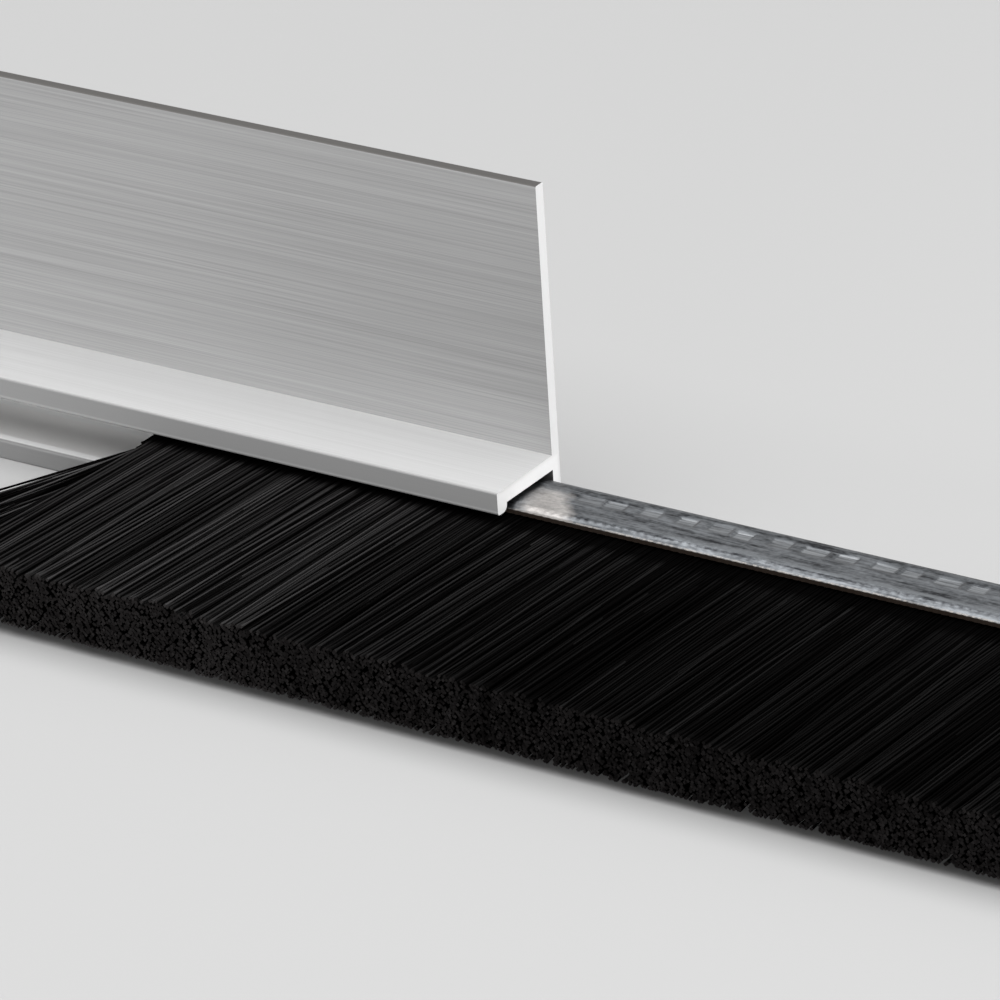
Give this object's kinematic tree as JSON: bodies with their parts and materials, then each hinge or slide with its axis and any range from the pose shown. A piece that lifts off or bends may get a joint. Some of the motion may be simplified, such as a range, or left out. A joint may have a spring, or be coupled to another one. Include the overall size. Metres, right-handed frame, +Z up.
{
  "type": "door brush strip",
  "caption": "Straight aluminium holder with a flat door flange and a lipped channel, where a strip brush of black bristles in a folded steel channel slides lengthwise to seal a door gap.",
  "frame": {"origin": "Centre of the flange's back face, the face that lies against the door, half way along the holder.", "axes": "X runs along the strip, with the brush drawn out towards +X. +Y points out of the flange's back face, into the door, so the bristles point along -Y. +Z is up, from the channel to the top of the flange."},
  "size_m": [0.2771, 0.0379, 0.033],
  "materials": {
    "brushed_aluminium": "anodised aluminium, brushed lengthwise, cut ends left bright",
    "galvanised_steel": "galvanised sheet steel with faint spangle and rolling streaks",
    "wire_steel": "bright drawn steel wire",
    "black_nylon": "black nylon filament with a soft sheen along its length"
  },
  "bodies": {
    "holder": {"aluminium_holder": "brushed_aluminium"},
    "brush": {"steel_channel": "galvanised_steel", "core_wire": "wire_steel", "bristles": "black_nylon"}
  },
  "joints": [
    {"name": "brush_slide", "type": "slide", "parent": "holder", "child": "brush", "axis": [1, 0, 0], "range_m": [-0.1125, 0.0375]}
  ]
}
